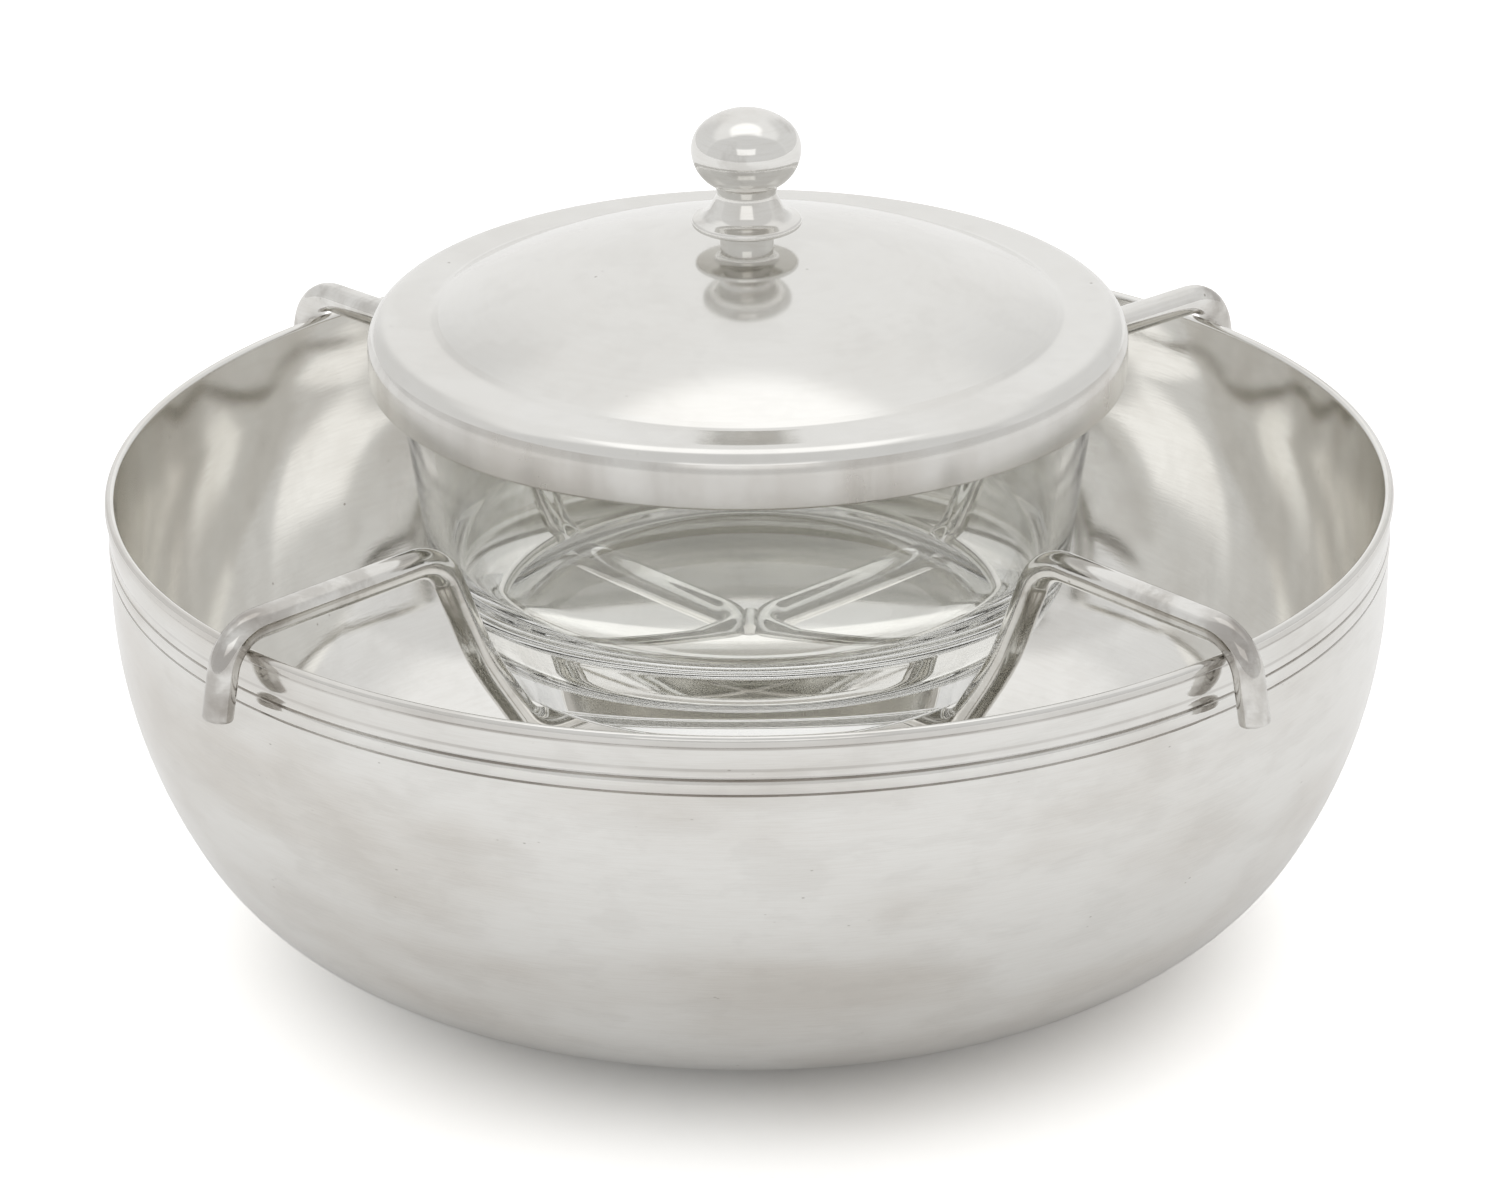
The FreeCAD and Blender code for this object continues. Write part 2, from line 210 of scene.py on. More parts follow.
# Outer bowl: spun from silver sheet, with a moulded band of silver soldered on its edge. The band
# has a rolled lip over an upright face with two grooves and a bead. The bowl's side runs round in
# one sweep to its underside.
def arc_points(r, z, radius, first, last, step=4.0):
    """Points of an outline's arc about (r, z). Angles are in degrees, 0 outward and 90 up."""
    count = max(2, round(abs(last - first) / step))
    angles = [math.radians(first + (last - first) * index / count) for index in range(count + 1)]
    return [(r + radius * math.cos(angle), z + radius * math.sin(angle)) for angle in angles]


def bow_points(start, end, rise, count=8):
    """Points of a shallow swell between two places of an outline that runs downwards."""
    points = []
    for index in range(count + 1):
        share = index / count
        out = rise * 4 * share * (1 - share)
        points.append((start[0] + (end[0] - start[0]) * share + out,
                       start[1] + (end[1] - start[1]) * share))
    return points


def rounded(corners, step=9.0, side_share=0.49):
    """Outline through (r, z, bend radius) corners, each corner replaced by a tangent arc that
    takes at most a share of each side."""
    points = []
    for index, (r, z, radius) in enumerate(corners):
        if index in (0, len(corners) - 1) or radius == 0:
            points.append((r, z))
            continue
        corner = Vector((r, z))
        back = Vector(corners[index - 1][:2]) - corner
        onward = Vector(corners[index + 1][:2]) - corner
        room = side_share * min(back.length, onward.length)
        back.normalize()
        onward.normalize()
        turn = math.pi - back.angle(onward)
        tangent = min(radius * math.tan(turn / 2), room)
        bend = tangent / math.tan(turn / 2)
        centre = corner + (back + onward).normalized() * (bend / math.cos(turn / 2))
        start = corner + back * tangent - centre
        end = corner + onward * tangent - centre
        count = max(2, round(math.degrees(turn) / step))
        for part in range(count + 1):
            share = part / count
            swing = (start * math.sin(turn * (1 - share)) + end * math.sin(turn * share)) \
                / math.sin(turn)
            points.append(tuple(centre + swing))
    return points


def turned(name, outline, crease=40, steps=360, nearest=0.001):
    """Solid turned about the upright axis from an outline of (radius, height) points in
    millimetres, which starts and ends on the axis or closes on itself. Points closer than the
    nearest distance to the last one are left out."""
    clean = [outline[0]]
    for place in outline[1:]:
        if math.dist(place, clean[-1]) > nearest:
            clean.append(place)
    vertices = []
    rings = []
    for r, z in clean:
        if r < nearest:
            rings.append([len(vertices)] * steps)
            vertices.append((0, 0, z * mm))
            continue
        rings.append(list(range(len(vertices), len(vertices) + steps)))
        for step in range(steps):
            angle = 2 * math.pi * step / steps
            vertices.append((r * mm * math.cos(angle), r * mm * math.sin(angle), z * mm))
    faces = []
    pairs = list(zip(rings, rings[1:]))
    if clean[0][0] > nearest:
        pairs.append((rings[-1], rings[0]))
    for near, far in pairs:
        for step in range(steps):
            after = (step + 1) % steps
            corners = dict.fromkeys((near[step], near[after], far[after], far[step]))
            faces.append(tuple(corners))
    mesh = bpy.data.meshes.new(name)
    mesh.from_pydata(vertices, [], faces)
    return finished(name, mesh, crease)


def finished(name, mesh, crease=40):
    """Object with its faces outward, smooth except along edges sharper than the crease."""
    form = bmesh.new()
    form.from_mesh(mesh)
    bmesh.ops.recalc_face_normals(form, faces=form.faces)
    form.to_mesh(mesh)
    form.free()
    mesh.shade_smooth()
    mesh.set_sharp_from_angle(angle=math.radians(crease))
    piece = bpy.data.objects.new(name, mesh)
    scene.collection.objects.link(piece)
    return piece


rim_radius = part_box("rim_band")[1][0] / mm
rim_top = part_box("rim_band")[1][2] / mm
lip_overhang = 0.6
bowl_wall = 1.2
band_radius = rim_radius - lip_overhang
lip_radius = (lip_overhang + bowl_wall) / 2
lip_centre = rim_radius - lip_radius
lip_height = 1.9
lip_under_radius = 0.6
band_swell = 0.2
upper_band_end = 5.9
hollow_band_end = 7.4
hollow_band_depth = 0.12
upper_groove_depth = 0.4
bead_top = 7.9
bead_bottom = 10.1
lower_groove_width = 0.4
lower_groove_depth = 0.3
band_height = 15.0
side_curves = ((85.0, 30.0), (42.0, 66.0), (120.0, 90.0))


def bowl_side(inset):
    """Side of the bowl from the band down to the underside, inside its outer face by the inset."""
    points = []
    r = band_radius - inset
    z = rim_top - band_height
    turned_in = 0
    for radius, end in side_curves:
        bend = radius - inset
        centre_r = r - bend * math.cos(math.radians(turned_in))
        centre_z = z + bend * math.sin(math.radians(turned_in))
        points += arc_points(centre_r, centre_z, bend, -turned_in, -end, step=2.0)
        r, z = points[-1]
        turned_in = end
    return points


def at(depth, r=None):
    """Place on the upright band, at a depth below the lip's top."""
    return (band_radius if r is None else r), rim_top - depth


bowl_outline = (
    arc_points(lip_centre, rim_top - lip_radius, lip_radius, 180, 0, step=12)
    + rounded([(rim_radius, rim_top - lip_radius, 0),
               (rim_radius, rim_top - lip_height, lip_under_radius),
               (band_radius, rim_top - lip_height, 0)])
    + bow_points(at(lip_height), at(upper_band_end), band_swell)
    + bow_points(at(upper_band_end), at(hollow_band_end), -hollow_band_depth)
    + [at((hollow_band_end + bead_top) / 2, band_radius - upper_groove_depth)]
    + bow_points(at(bead_top), at(bead_bottom), band_swell)
    + [at(bead_bottom + lower_groove_width / 2, band_radius - lower_groove_depth),
       at(bead_bottom + lower_groove_width)]
    + bowl_side(0) + [(0, 0), (0, bowl_wall)]
    + list(reversed(bowl_side(bowl_wall))))
bowl = turned("bowl", bowl_outline, crease=35)
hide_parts("outer_bowl", "rim_band")
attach(bowl, "root")


def shader_group(name, inputs, outputs):
    """Empty shader node group with float or vector sockets, and its group input and output."""
    group = bpy.data.node_groups.new(name, "ShaderNodeTree")
    for label, kind, value in inputs:
        socket = group.interface.new_socket(label, in_out="INPUT", socket_type=kind)
        if value is not None:
            socket.default_value = value
    for label, kind in outputs:
        group.interface.new_socket(label, in_out="OUTPUT", socket_type=kind)
    given = group.nodes.new("NodeGroupInput").outputs
    wanted = group.nodes.new("NodeGroupOutput").inputs
    return group, given, wanted


def noise(tree, vector, scale, detail=3.0, roughness=0.5, distortion=0.0):
    """Output of a noise texture, each of whose settings is a number or an output."""
    node = tree.nodes.new("ShaderNodeTexNoise")
    for label, value in (("Scale", scale), ("Detail", detail), ("Roughness", roughness),
                         ("Distortion", distortion)):
        if isinstance(value, (int, float)):
            node.inputs[label].default_value = value
        else:
            link(tree, value, node.inputs[label])
    link(tree, vector, node.inputs["Vector"])
    return node.outputs["Fac"]


def stretched(tree, vector, scale):
    """Vector multiplied along each axis, which draws a pattern out along the smallest."""
    node = tree.nodes.new("ShaderNodeVectorMath")
    node.operation = "MULTIPLY"
    node.inputs[1].default_value = scale
    link(tree, vector, node.inputs[0])
    return node.outputs[0]


def blend(tree, share, under, over):
    """Colour that goes from under to over with the share. Each of the two, on the node's inputs
    6 and 7, is a fixed colour or an output."""
    node = tree.nodes.new("ShaderNodeMix")
    node.data_type = "RGBA"
    link(tree, share, node.inputs[0])
    for index, colour in ((6, under), (7, over)):
        if isinstance(colour, tuple):
            node.inputs[index].default_value = colour
        else:
            link(tree, colour, node.inputs[index])
    return node.outputs[2]


# Silver in use: soft clouds of wear, fine brushing, specks and tarnish. Each edge is the pair of
# values of its pattern between which a mask goes from none to all.
clean_silver = (0.79, 0.785, 0.765, 1)
worn_silver = (0.66, 0.637, 0.602, 1)
tarnished_silver = (0.27, 0.245, 0.215, 1)
cloud_edge = (0.38, 0.74)
brush_stretch = (1.0, 1.0, 14.0)
brush_scale = 160.0
brush_edge = (0.35, 0.75)
brush_wear = 0.5
brush_height = 0.004
speck_scale = 320.0
speck_edge = (0.12, 0.05)
speck_patch_scale = 95.0
speck_patch_edge = (0.68, 0.76)
speck_strength = 0.6
tarnish_scale = 75.0
tarnish_edge = (0.48, 0.62)
worn_haze = 0.09
wave_scale = 14.0

silver_wear, given, wanted = shader_group(
    "silver wear",
    [("Vector", "NodeSocketVector", None),
     ("Cloud Scale", "NodeSocketFloat", 22.0),
     ("Cloud Amount", "NodeSocketFloat", 0.5),
     ("Tarnish Amount", "NodeSocketFloat", 0.1),
     ("Brush Amount", "NodeSocketFloat", 0.3),
     ("Wave Amount", "NodeSocketFloat", 0.4),
     ("Polish", "NodeSocketFloat", 0.04),
     ("Shine", "NodeSocketFloat", 1.0)],
    [("Color", "NodeSocketColor"), ("Roughness", "NodeSocketFloat"), ("Height", "NodeSocketFloat")])
tree = silver_wear
place = given["Vector"]
clouds = ramp_between(tree, noise(tree, place, given["Cloud Scale"]), *cloud_edge)
cloud_mask = math_node(tree, "MULTIPLY", clouds, given["Cloud Amount"])
brushed = noise(tree, stretched(tree, place, brush_stretch), brush_scale, detail=4.0, roughness=0.7)
brush_mask = math_node(tree, "MULTIPLY", ramp_between(tree, brushed, *brush_edge),
                       given["Brush Amount"])
specks = tree.nodes.new("ShaderNodeTexVoronoi")
specks.inputs["Scale"].default_value = speck_scale
link(tree, place, specks.inputs["Vector"])
speck_patches = ramp_between(tree, noise(tree, place, speck_patch_scale, detail=0.0),
                             *speck_patch_edge, high=speck_strength)
speck_mask = math_node(tree, "MULTIPLY", ramp_between(tree, specks.outputs["Distance"], *speck_edge),
                       speck_patches)
tarnish = noise(tree, place, tarnish_scale, detail=5.0, roughness=0.6, distortion=0.2)
tarnish_mask = math_node(tree, "MULTIPLY", ramp_between(tree, tarnish, *tarnish_edge),
                         given["Tarnish Amount"])
dark_mask = math_node(tree, "MAXIMUM", speck_mask, tarnish_mask)
worn = math_node(tree, "ADD", cloud_mask, math_node(tree, "MULTIPLY", brush_mask, brush_wear),
                 clamp=True)
colour = blend(tree, worn, clean_silver, worn_silver)
shone = tree.nodes.new("ShaderNodeVectorMath")
shone.operation = "SCALE"
link(tree, blend(tree, dark_mask, colour, tarnished_silver), shone.inputs[0])
link(tree, given["Shine"], shone.inputs["Scale"])
link(tree, shone.outputs[0], wanted["Color"])
link(tree, math_node(tree, "MULTIPLY_ADD", worn, worn_haze, given["Polish"]), wanted["Roughness"])
waves = noise(tree, place, wave_scale, detail=2.0, roughness=0.4)
wave_height = math_node(tree, "MULTIPLY", waves, given["Wave Amount"])
fine_height = math_node(tree, "MULTIPLY", brushed,
                        math_node(tree, "MULTIPLY", brush_mask, brush_height))
link(tree, math_node(tree, "ADD", wave_height, fine_height), wanted["Height"])

# Dark lines and ends are patchy: their share goes from the third number of an edge to the
# fourth while a noise goes from the first to the second. On the bowl they are painted shade, on the
# wire's hooks a painted dark reflection.
darkening_colour = (0.2, 0.17, 0.145, 1)
line_core = 0.4
line_patch_scale = 28.0
line_patch_edge = (0.3, 0.6, 0.45, 1.0)
end_patch_scale = 130.0
end_patch_edge = (0.42, 0.6, 0.1, 1.0)


def silver(name, clouds, brush, waves, polish, cloud_scale=22.0, turn=0.0, tarnish=0.1,
           upright=1.0, shine=1.0, lines=(), ends=None):
    """Polished silver with its own share of tarnish clouds, brushing and uneven sheet, dark
    lines at (height, half width, strength), which on the bowl are painted shade along its lip and
    grooves, and darker ends beyond a distance from the axis given as (start, full, strength),
    which are a painted dark reflection."""
    material = bpy.data.materials.new(name)
    material.use_nodes = True
    tree = material.node_tree
    shader = tree.nodes["Principled BSDF"]
    shader.inputs["Metallic"].default_value = 1.0
    place = tree.nodes.new("ShaderNodeTexCoord").outputs["Object"]
    mapping = tree.nodes.new("ShaderNodeMapping")
    mapping.inputs["Rotation"].default_value = (0, 0, turn)
    mapping.inputs["Scale"].default_value = (1, 1, upright)
    link(tree, place, mapping.inputs["Vector"])
    wear = tree.nodes.new("ShaderNodeGroup")
    wear.node_tree = silver_wear
    for label, value in (("Cloud Scale", cloud_scale), ("Cloud Amount", clouds),
                         ("Tarnish Amount", tarnish), ("Brush Amount", brush),
                         ("Wave Amount", waves), ("Polish", polish), ("Shine", shine)):
        wear.inputs[label].default_value = value
    link(tree, mapping.outputs[0], wear.inputs["Vector"])
    masks = []
    if lines:
        axes = tree.nodes.new("ShaderNodeSeparateXYZ")
        link(tree, place, axes.inputs[0])
        patchy = ramp_between(tree, noise(tree, place, line_patch_scale, detail=4.0),
                              *line_patch_edge)
        for height, half_width, strength in lines:
            away = math_node(tree, "ABSOLUTE",
                             math_node(tree, "SUBTRACT", axes.outputs["Z"], height * mm))
            line = ramp_between(tree, away, half_width * mm, half_width * mm * line_core,
                                0.0, strength)
            masks.append(math_node(tree, "MULTIPLY", line, patchy))
    if ends:
        start, full, strength = ends
        patchy = ramp_between(tree, noise(tree, place, end_patch_scale, detail=5.0),
                              *end_patch_edge)
        distance = tree.nodes.new("ShaderNodeVectorMath")
        distance.operation = "LENGTH"
        link(tree, stretched(tree, place, (1, 1, 0)), distance.inputs[0])
        end = ramp_between(tree, distance.outputs["Value"], start * mm, full * mm, 0.0, strength)
        masks.append(math_node(tree, "MULTIPLY", end, patchy))
    colour = wear.outputs["Color"]
    # Dark marks over the wear colour: painted shade on the bowl, a painted dark reflection on the
    # hooks.
    for mask in masks:
        colour = blend(tree, mask, colour, darkening_colour)
    bump = tree.nodes.new("ShaderNodeBump")
    bump.inputs["Distance"].default_value = 1.0 * mm
    bump.inputs["Strength"].default_value = 1.0
    link(tree, wear.outputs["Height"], bump.inputs["Height"])
    link(tree, colour, shader.inputs["Base Color"])
    link(tree, wear.outputs["Roughness"], shader.inputs["Roughness"])
    link(tree, bump.outputs["Normal"], shader.inputs["Normal"])
    return material


# Painted shade: dark patchy lines on the lip's face, under the lip, on the band's step and in the
# two grooves.
lip_shade_depth = 1.2
under_lip = 0.1
groove_shade_lines = ((rim_top - lip_shade_depth, 0.9, 0.22),
                (rim_top - lip_height - under_lip, 0.5, 0.55),
                (rim_top - upper_band_end, 0.4, 0.3),
                (rim_top - (hollow_band_end + bead_top) / 2, 0.35, 0.5),
                (rim_top - bead_bottom - lower_groove_width / 2, 0.35, 0.45))
bowl.data.materials.append(silver(
    "bowl silver", clouds=1.0, brush=0.6, waves=0.25, polish=0.05, cloud_scale=18.0,
    tarnish=0.06, upright=2.4, lines=groove_shade_lines))
bowl.data.materials.append(silver(
    "bowl inside silver", clouds=0.5, brush=0.4, waves=0.3, polish=0.06, tarnish=0.06, shine=1.1))

# The inside silver goes on the faces that look at the axis, and on the floor of the bowl.
facing_axis = -1e-6
facing_up = 0.9
for face in bowl.data.polygons:
    outward = face.normal.x * face.center.x + face.normal.y * face.center.y
    on_floor = face.normal.z > facing_up and face.center.z < rim_top * mm / 2
    if outward < facing_axis or on_floor:
        face.material_index = 1

# Cradle: two round silver wires, each bent to a hook, an arm and a leg at both ends. The hooks
# hang on the bowl's rim. The wires pass under the liner back to back and are soldered there.
wire_diameter = 5.3
wire_radius = wire_diameter / 2
cradle_half_angle = math.radians(46.2)
cradle_turn = math.radians(-1.85)
cradle_height = rim_top - 32.8
wire_parting = 0.3
hook_end_round = 0.7
hook_end_step = 15


def tan_deg(angle):
    """Tangent of an angle in degrees."""
    return math.tan(math.radians(angle))


def crossing(first, first_lean, second, second_lean):
    """Where two leaning lines meet, each through a (radius, height) place with its lean."""
    height = (second[0] - first[0] + first_lean * first[1] - second_lean * second[1]) \
        / (first_lean - second_lean)
    return first[0] + first_lean * (height - first[1]), height


hook_touch_angle = math.radians(52.0)
hook_bend_radius = 8.0
hook_splay = 11.0
hook_end_depth = 10.8
arm_slope = 1.2
arm_bend_radius = 8.0
upper_leg_lean = 22.5
lower_leg_lean = 34.0
leg_bend_radius = 60.0
foot_bend_radius = 9.0
hook_gap = 0.25
foot_reach = 50.07
knee_height = 16.0

hook_shift = hook_bend_radius - lip_radius - hook_gap - wire_radius
hook_r = lip_centre - hook_shift * math.cos(hook_touch_angle)
hook_z = rim_top - lip_radius - hook_shift * math.sin(hook_touch_angle)
hook_top = crossing(
    (hook_r + hook_bend_radius * math.sin(math.radians(arm_slope)),
     hook_z + hook_bend_radius * math.cos(math.radians(arm_slope))), -1 / tan_deg(arm_slope),
    (hook_r + hook_bend_radius * math.cos(math.radians(hook_splay)),
     hook_z + hook_bend_radius * math.sin(math.radians(hook_splay))), -tan_deg(hook_splay))
hook_end_z = rim_top - hook_end_depth
hook_end = (hook_top[0] + (hook_top[1] - hook_end_z) * tan_deg(hook_splay), hook_end_z)
knee = (foot_reach + knee_height * tan_deg(lower_leg_lean), cradle_height + knee_height)
arm_top = crossing(hook_top, -1 / tan_deg(arm_slope), knee, tan_deg(upper_leg_lean))

bends = [(*hook_end, 0.0), (*hook_top, hook_bend_radius), (*arm_top, arm_bend_radius),
         (*knee, leg_bend_radius), (foot_reach, cradle_height, foot_bend_radius)]
centre_bend = (wire_radius + wire_parting / 2) / (1 / math.cos(cradle_half_angle) - 1)


def on_arm(side, r, z):
    """Place over one of the wire's two arms, the front one for side -1 and the rear one for 1."""
    return Vector((-math.sin(cradle_half_angle) * r, side * math.cos(cradle_half_angle) * r, z))


def cut_end(end, inner):
    """Places, with their bends and thicknesses, that round the edge of a cut end."""
    along = (inner - end).normalized()
    places = []
    for angle in range(0, 91, hook_end_step):
        depth = hook_end_round * (1 - math.cos(math.radians(angle)))
        inset = hook_end_round * (1 - math.sin(math.radians(angle)))
        places.append((end + along * depth, 0.0, wire_radius - inset))
    return places


front_arm = [(on_arm(-1, r, z), bend, wire_radius) for r, z, bend in bends]
rear_arm = [(on_arm(1, r, z), bend, wire_radius) for r, z, bend in bends]
route = (cut_end(front_arm[0][0], front_arm[1][0]) + front_arm[1:]
         + [(Vector((0, 0, cradle_height)), centre_bend, wire_radius)]
         + rear_arm[:0:-1] + cut_end(rear_arm[0][0], rear_arm[1][0])[::-1])

arc_steps = 14
wire_sides = 48

bending = bpy.data.node_groups.new("bent wire", "GeometryNodeTree")
for label, kind in (("Route", "NodeSocketGeometry"), ("Arc Steps", "NodeSocketInt"),
                    ("Sides", "NodeSocketInt"), ("Silver", "NodeSocketMaterial")):
    bending.interface.new_socket(label, in_out="INPUT", socket_type=kind)
bending.interface.new_socket("Wire", in_out="OUTPUT", socket_type="NodeSocketGeometry")


def stored(name):
    """Output that reads a number kept on each place of the route."""
    node = bending.nodes.new("GeometryNodeInputNamedAttribute")
    node.data_type = "FLOAT"
    node.inputs["Name"].default_value = name
    return node.outputs["Attribute"]


given = bending.nodes.new("NodeGroupInput").outputs
wanted = bending.nodes.new("NodeGroupOutput").inputs
curve = bending.nodes.new("GeometryNodeMeshToCurve")
fillet = bending.nodes.new("GeometryNodeFilletCurve")
fillet.mode = "POLY"
fillet.inputs["Limit Radius"].default_value = True
circle = bending.nodes.new("GeometryNodeCurvePrimitiveCircle")
circle.inputs["Radius"].default_value = 1.0
sweep = bending.nodes.new("GeometryNodeCurveToMesh")
sweep.inputs["Fill Caps"].default_value = True
realize = bending.nodes.new("GeometryNodeRealizeInstances")
dress = bending.nodes.new("GeometryNodeSetMaterial")
for outlet, inlet in ((given["Route"], curve.inputs["Mesh"]),
                      (curve.outputs[0], fillet.inputs["Curve"]),
                      (stored("bend"), fillet.inputs["Radius"]),
                      (given["Arc Steps"], fillet.inputs["Count"]),
                      (fillet.outputs[0], sweep.inputs["Curve"]),
                      (stored("thickness"), sweep.inputs["Scale"]),
                      (given["Sides"], circle.inputs["Resolution"]),
                      (circle.outputs[0], sweep.inputs["Profile Curve"]),
                      (sweep.outputs[0], realize.inputs[0]),
                      (realize.outputs[0], dress.inputs["Geometry"]),
                      (given["Silver"], dress.inputs["Material"]),
                      (dress.outputs[0], wanted["Wire"])):
    link(bending, outlet, inlet)

# Painted dark reflection: the wire is painted darker in patches beyond the rim, on the hooks.
painted_reflection_start = 102.0
painted_reflection_full = 112.0
wire_silver = silver("wire silver", clouds=0.45, brush=0.5, waves=0.0, polish=0.06,
                     cloud_scale=120.0, tarnish=0.35, shine=1.02,
                     ends=(painted_reflection_start, painted_reflection_full, 0.5))


def cradle_wire(name, turn):
    """One wire of the cradle, swept along its route and turned to its place."""
    mesh = bpy.data.meshes.new(name + "_route")
    spin = Matrix.Rotation(turn, 4, "Z")
    mesh.from_pydata([spin @ (corner[0] * mm) for corner in route],
                     [(index, index + 1) for index in range(len(route) - 1)], [])
    for label, column in (("bend", 1), ("thickness", 2)):
        attribute = mesh.attributes.new(label, "FLOAT", "POINT")
        for index, corner in enumerate(route):
            attribute.data[index].value = corner[column] * mm
    draft = bpy.data.objects.new(name + "_route", mesh)
    scene.collection.objects.link(draft)
    modifier = draft.modifiers.new("bent wire", "NODES")
    modifier.node_group = bending
    for label, value in (("Arc Steps", arc_steps), ("Sides", wire_sides),
                         ("Silver", wire_silver)):
        modifier[bending.interface.items_tree[label].identifier] = value
    ready = draft.evaluated_get(bpy.context.evaluated_depsgraph_get())
    swept = bpy.data.meshes.new_from_object(ready)
    swept.name = name
    bpy.data.objects.remove(draft)
    return finished(name, swept, crease=50)


for name, node, turn in (("wire_left", "cradle_wire_left", cradle_turn),
                         ("wire_right", "cradle_wire_right", cradle_turn + math.pi)):
    wire = cradle_wire(name, turn)
    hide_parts(node)
    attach(wire, "root")

# Solder: silver solder that has run into the valleys between the two wires under the liner and
# holds them together.
solder = bpy.data.objects["cradle_solder"]
solder.data.materials.clear()
solder.data.materials.append(wire_silver)

# Glass liner: a heavy pressed pot of clear glass with polished faces, a thick floor and a wall
# that leans inward more below its shoulder. It only stands in the cradle.
liner_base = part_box("glass_liner")[0][2] / mm
liner_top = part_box("glass_liner")[1][2] / mm
liner_rim_radius = 61.6
liner_upper_lean = 8.3
liner_lower_lean = 29.0
liner_shoulder_height = 13.2
liner_shoulder_radius = 10.0
liner_heel_radius = 3.0
liner_wall = 3.4
liner_rim_round = 1.6
liner_floor = 7.0
liner_floor_corner_radius = 20.0

inner_rim = liner_rim_radius - liner_wall / math.cos(math.radians(liner_upper_lean))
inner_corner = inner_rim - (liner_top - liner_base - liner_floor) * tan_deg(liner_upper_lean)
floor_z = liner_base + liner_floor
shoulder_z = liner_base + liner_shoulder_height
shoulder_r = liner_rim_radius - (liner_top - shoulder_z) * tan_deg(liner_upper_lean)
heel_r = shoulder_r - liner_shoulder_height * tan_deg(liner_lower_lean)
liner = turned("glass_pot", rounded(
    [(0, liner_base, 0), (heel_r, liner_base, liner_heel_radius),
     (shoulder_r, shoulder_z, liner_shoulder_radius),
     (liner_rim_radius, liner_top, liner_rim_round), (inner_rim, liner_top, liner_rim_round),
     (inner_corner, floor_z, liner_floor_corner_radius), (0, floor_z, 0)], step=3.0))
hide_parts("glass_liner")
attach(liner, "root")

clear_tint = (0.993, 0.997, 0.988, 1)
smudged_tint = (0.982, 0.988, 0.976, 1)
smudge_scale = 38.0
smudge_edge = (0.5, 0.7)
smudge_roughness = 0.015
glass_ior = 1.51

glass = bpy.data.materials.new("clear glass")
glass.use_nodes = True
tree = glass.node_tree
shader = tree.nodes["Principled BSDF"]
shader.inputs["Transmission Weight"].default_value = 1.0
shader.inputs["IOR"].default_value = glass_ior
place = tree.nodes.new("ShaderNodeTexCoord").outputs["Object"]
smudge = ramp_between(tree, noise(tree, place, smudge_scale, detail=4.0, roughness=0.6),
                      *smudge_edge)
link(tree, blend(tree, smudge, clear_tint, smudged_tint), shader.inputs["Base Color"])
link(tree, math_node(tree, "MULTIPLY", smudge, smudge_roughness), shader.inputs["Roughness"])
liner.data.materials.append(glass)

# Lid: spun from silver sheet, with an upright skirt, a flange that rests on the liner's rim and
# a low dome that rises from a hollow fold.
flange_top = liner_top + 1.2
lid_sheet = 1.0
lid_radius = 65.1
lid_skirt_height = 10.0
lid_shoulder_radius = 4.4
lid_edge_round = 0.45
lid_dome_radius_at_foot = 54.5
lid_dome_rise = 12.7
lid_fold_radius = 3.0

dome_top = flange_top + lid_dome_rise
dome_radius = (lid_dome_radius_at_foot ** 2 + lid_dome_rise ** 2) / (2 * lid_dome_rise)
dome_centre = dome_top - dome_radius
fold_z = flange_top + lid_fold_radius
fold_r = math.sqrt((dome_radius + lid_fold_radius) ** 2 - (fold_z - dome_centre) ** 2)


def dome_points(radius, fold_radius):
    """Outer or inner face of the lid from the flange's fold up to the axis."""
    lean = math.asin(fold_r / (radius + fold_radius))
    return (arc_points(fold_r, fold_z, fold_radius, -90, -90 - math.degrees(lean), step=2.0)
            + arc_points(0, dome_centre, radius, 90 - math.degrees(lean), 90, step=0.5))


lid = turned("lid_shell", (
    list(reversed(dome_points(dome_radius, lid_fold_radius)))
    + rounded([(fold_r, flange_top, 0), (lid_radius, flange_top, lid_shoulder_radius),
               (lid_radius, flange_top - lid_skirt_height, lid_edge_round),
               (lid_radius - lid_sheet, flange_top - lid_skirt_height, lid_edge_round),
               (lid_radius - lid_sheet, flange_top - lid_sheet, lid_shoulder_radius - lid_sheet),
               (fold_r, flange_top - lid_sheet, 0)], step=5.0)
    + dome_points(dome_radius - lid_sheet, lid_fold_radius + lid_sheet)))
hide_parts("lid")
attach(lid, "root")
lid_silver = silver("lid silver", clouds=0.25, brush=0.2, waves=0.15, polish=0.1,
                    cloud_scale=30.0, turn=1.0, tarnish=0.04)
lid.data.materials.append(lid_silver)

# Handling has dulled the flange, and the skirt still more. A wide darker band runs round the
# skirt.
skirt_below_flange = 2.2
flange_edge_rise = 0.8
skirt_band_depth = 3.0
skirt_band_half_width = 5.0
skirt_top = flange_top - skirt_below_flange
flange_end = flange_top + flange_edge_rise
skirt_dark_band = ((skirt_top - skirt_band_depth, skirt_band_half_width, 0.16),)
lid.data.materials.append(silver(
    "lid skirt silver", clouds=0.9, brush=0.55, waves=0.0, polish=0.2, cloud_scale=40.0,
    turn=1.0, tarnish=0.15, upright=0.04, lines=skirt_dark_band))
lid.data.materials.append(silver(
    "lid flange silver", clouds=0.3, brush=0.2, waves=0.1, polish=0.13, cloud_scale=30.0,
    tarnish=0.04))
for face in lid.data.polygons:
    if face.center.z < skirt_top * mm:
        face.material_index = 1
    elif face.center.z < flange_end * mm:
        face.material_index = 2

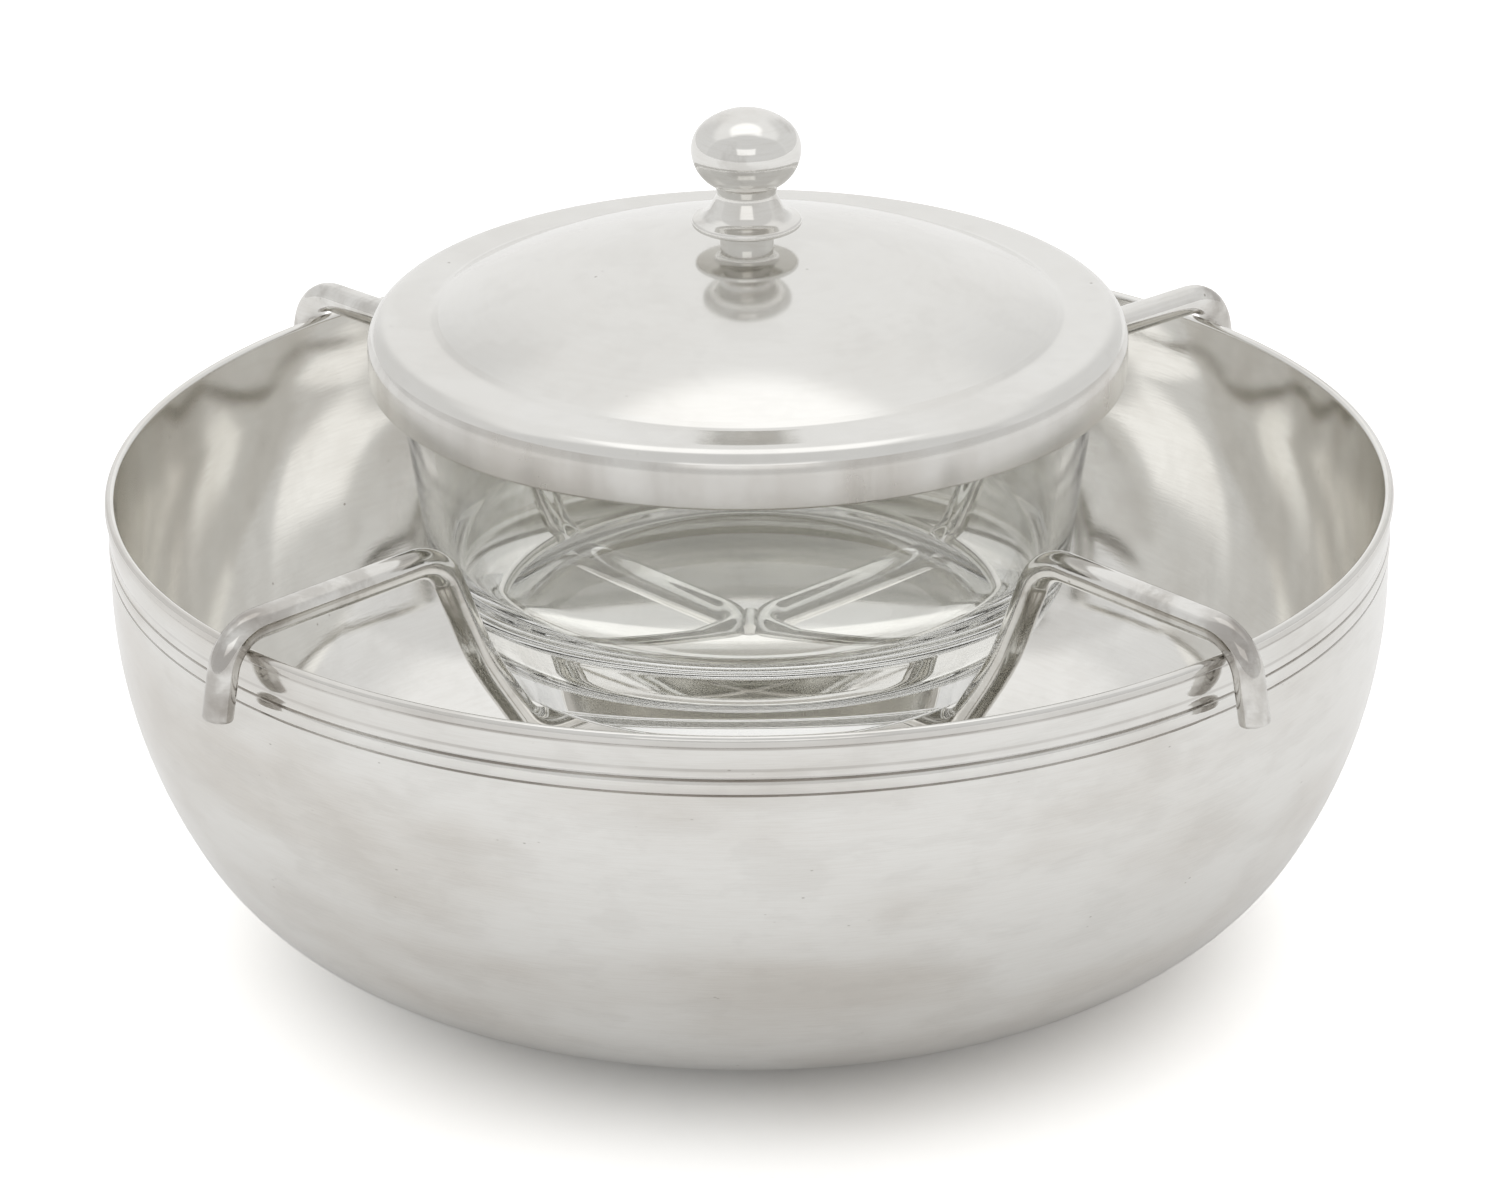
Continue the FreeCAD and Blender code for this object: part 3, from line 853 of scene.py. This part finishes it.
# Finial: turned from one bar of silver, a flattened ball on a waisted neck over a thin collar,
# with the stud that goes through the lid. Its foot sinks a little into the dome, which leaves no
# gap there.
finial_base = dome_top
stem_radius = 4.6
stem_sink = 0.25
stem_flare_radius = 1.8
collar_radius = 9.4
collar_bottom = 3.3
collar_edge = 1.1
collar_round = 0.5
collar_slope_radius = 6.9
collar_slope_top = 5.3
collar_flare_radius = 3.5
neck_radius = 4.95
neck_height = 8.9
neck_curve_radius = 4.0
ball_bottom = 10.5
ball_bottom_radius = 5.45
ball_radius = 9.4
ball_side_radius = 5.5
ball_middle = 16.8
ball_top = 23.7
stud_radius = 2.0
stud_round = 0.6
stud_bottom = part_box("finial")[0][2] / mm

ball_hollow = ball_radius - ball_bottom_radius
ball_depth = ball_middle - ball_bottom
ball_rise = ball_top - ball_middle
lower_radius = (ball_hollow ** 2 + ball_depth ** 2) / (2 * ball_hollow)
lower_end = math.degrees(math.asin(ball_depth / lower_radius))
crown = (ball_radius ** 2 - 2 * ball_radius * ball_side_radius + ball_rise ** 2) \
    / (2 * (ball_rise - ball_side_radius))
crown_lean = math.degrees(math.atan2(crown - ball_rise, ball_radius - ball_side_radius))
foot_z = finial_base - stem_sink
middle_z = finial_base + ball_middle
finial = turned("finial_knob", (
    rounded([(0, stud_bottom, 0), (stud_radius, stud_bottom, stud_round),
             (stud_radius, foot_z, 0), (stem_radius, foot_z, 0),
             (stem_radius, finial_base + collar_bottom, stem_flare_radius),
             (collar_radius, finial_base + collar_bottom, collar_round),
             (collar_radius, finial_base + collar_bottom + collar_edge, collar_round),
             (collar_slope_radius, finial_base + collar_slope_top, collar_flare_radius),
             (neck_radius, finial_base + neck_height, neck_curve_radius),
             (ball_bottom_radius, finial_base + ball_bottom, 0)], step=6.0)
    + arc_points(ball_radius - lower_radius, middle_z, lower_radius, -lower_end, 0)
    + arc_points(ball_radius - ball_side_radius, middle_z, ball_side_radius, 0, crown_lean)
    + arc_points(0, finial_base + ball_top - crown, crown, crown_lean, 90)), crease=30, steps=192)
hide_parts("finial")
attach(finial, "root")
finial.data.materials.append(silver(
    "finial silver", clouds=0.5, brush=0.5, waves=0.0, polish=0.07, cloud_scale=90.0,
    tarnish=0.25, shine=1.03))

# Washer and nut: small turned and filed pieces on the stud inside the lid, which draw the finial
# down on the dome.
for name in ("finial_washer", "finial_nut"):
    fastener = bpy.data.objects[name]
    fastener.data.materials.clear()
    fastener.data.materials.append(lid_silver)
